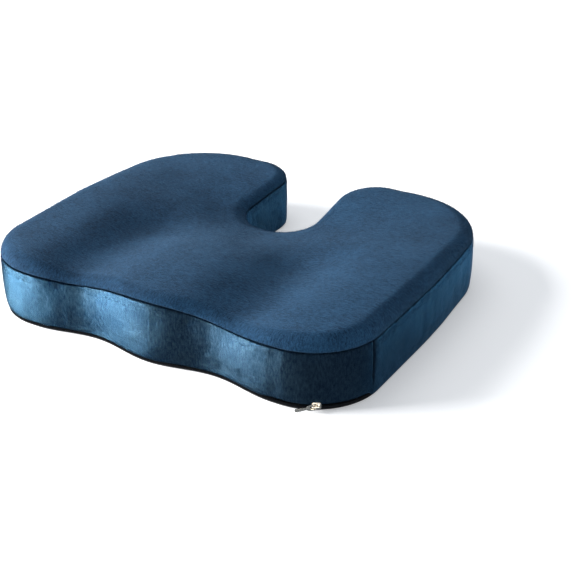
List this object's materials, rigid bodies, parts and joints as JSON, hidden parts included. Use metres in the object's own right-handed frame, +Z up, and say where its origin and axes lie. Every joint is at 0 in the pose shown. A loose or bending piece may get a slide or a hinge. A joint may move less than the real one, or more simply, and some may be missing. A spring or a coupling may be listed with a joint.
{
  "type": "seat cushion",
  "caption": "Contoured U-shaped seat cushion: one-piece foam core in a zipped velour cover with a slider and a swinging pull tab.",
  "frame": {"origin": "centre of the bounding box's bottom face, on the surface that the cushion lies on", "axes": "+Z up; +X to the sitter's right, across the cushion; -Y towards the front edge, so the cut-out opens towards +Y"},
  "size_m": [0.4488, 0.383, 0.0769],
  "materials": {
    "foam": "matte",
    "velour_top": "matte",
    "velour_band": "matte",
    "base_cloth": "matte",
    "zipper_tape": "matte",
    "zipper_coil": "satin",
    "plated_metal": "satin"
  },
  "bodies": {
    "cushion": {"foam_core": "foam", "cover_top_panel": "velour_top", "cover_front_band": "velour_band", "cover_side_band": "velour_band", "cover_base_panel": "base_cloth", "zipper_tape_upper": "zipper_tape", "zipper_tape_lower": "zipper_tape", "zipper_coil_upper": "zipper_coil", "zipper_coil_lower": "zipper_coil", "zipper_end_tack_right": "zipper_tape", "zipper_end_tack_left": "zipper_tape"},
    "slider": {"zipper_slider": "plated_metal"},
    "pull": {"zipper_pull_tab": "plated_metal"}
  },
  "joints": [
    {"name": "zipper_travel", "type": "hinge", "parent": "cushion", "child": "slider", "pos_m": [0.14957, -0.11745, 0.0062], "axis": [0, 0, 1], "range_deg": [-26, 40]},
    {"name": "pull_tab_swing", "type": "hinge", "parent": "slider", "child": "pull", "pos_m": [0.18632, -0.18111, 0.0062], "axis": [-0.1948, -0.1125, 0.9744], "range_deg": [0, 150]}
  ]
}
